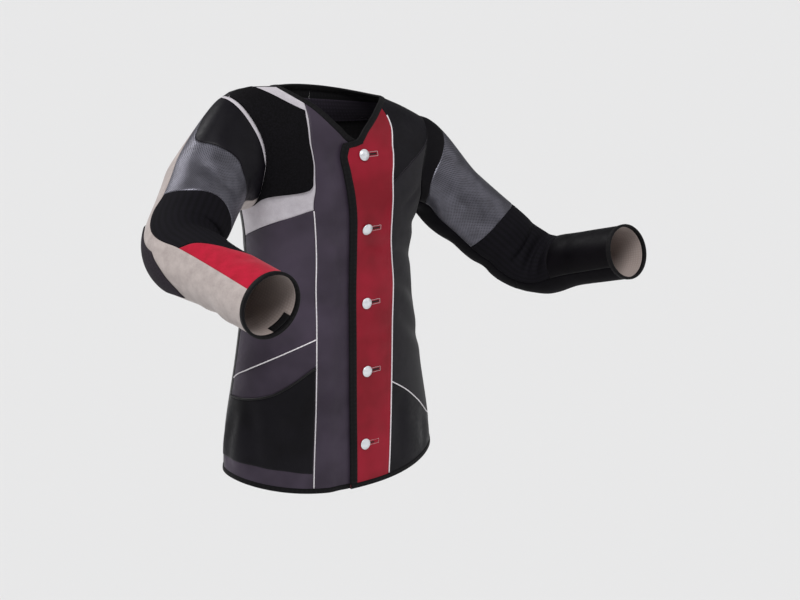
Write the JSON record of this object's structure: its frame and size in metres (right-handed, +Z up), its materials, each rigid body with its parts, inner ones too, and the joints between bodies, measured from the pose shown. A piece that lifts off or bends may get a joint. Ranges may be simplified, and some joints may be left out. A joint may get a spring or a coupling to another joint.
{
  "type": "shooting jacket",
  "caption": "Collarless shooting jacket in panelled leather and suede, buttoned up the front, shaped as worn with both elbows bent.",
  "frame": {"origin": "middle of the neck, on the body's upright axis at the height where the unleaned neck sides sit", "axes": "+X the wearer's left, -Y the front, +Z up"},
  "size_m": [0.8196, 0.489, 0.6902],
  "materials": {
    "grey_leather": "smooth, lightly grained",
    "black_leather": "lightly grained",
    "red_leather": "smooth",
    "red_suede": "brushed",
    "white_suede": "brushed",
    "beige_suede": "brushed",
    "black_suede": "brushed",
    "grip_rubber": "pebbled",
    "silver_mesh": "perforated, soft sheen",
    "stretch_cloth": "matt knit",
    "black_binding": "folded tape",
    "white_piping": "corded",
    "cream_lining": "soft weave",
    "grey_lining": "soft weave",
    "button_metal": "polished dome"
  },
  "bodies": {
    "root": {"right_front_centre": "grey_leather", "right_front_side": "grey_leather", "right_front_hip": "grey_leather", "right_yoke": "white_suede", "right_shoulder_pad": "grip_rubber", "right_pocket": "black_leather", "left_front_placket": "red_leather", "left_front_upper": "black_leather", "left_front_middle": "black_suede", "left_front_lower": "black_leather", "back_left": "black_leather", "back_right": "black_leather", "back_neck_facing": "grey_lining", "neck_binding": "black_binding", "front_edge_binding": "black_binding", "hem_binding": "black_binding", "right_front_piping": "white_piping", "left_front_piping": "white_piping", "right_hip_piping": "white_piping", "left_curved_piping": "white_piping", "button_1": "button_metal", "button_2": "button_metal", "button_3": "button_metal", "button_4": "button_metal", "button_5": "button_metal", "right_sleeve_cap": "black_leather", "right_sleeve_band": "silver_mesh", "right_sleeve_elbow": "stretch_cloth", "right_forearm_top": "red_suede", "right_sleeve_under": "beige_suede", "right_forearm_under": "beige_suede", "right_armhole_band": "white_suede", "right_elbow_pad": "grip_rubber", "right_cuff_binding": "black_binding", "right_cuff_lining": "cream_lining", "right_cuff_tab": "black_binding", "left_sleeve_cap": "black_leather", "left_sleeve_band": "silver_mesh", "left_sleeve_elbow": "stretch_cloth", "left_forearm": "black_leather", "left_sleeve_under": "black_suede", "left_forearm_under": "black_suede", "left_cuff_binding": "black_binding", "left_cuff_lining": "cream_lining"}
  },
  "joints": []
}
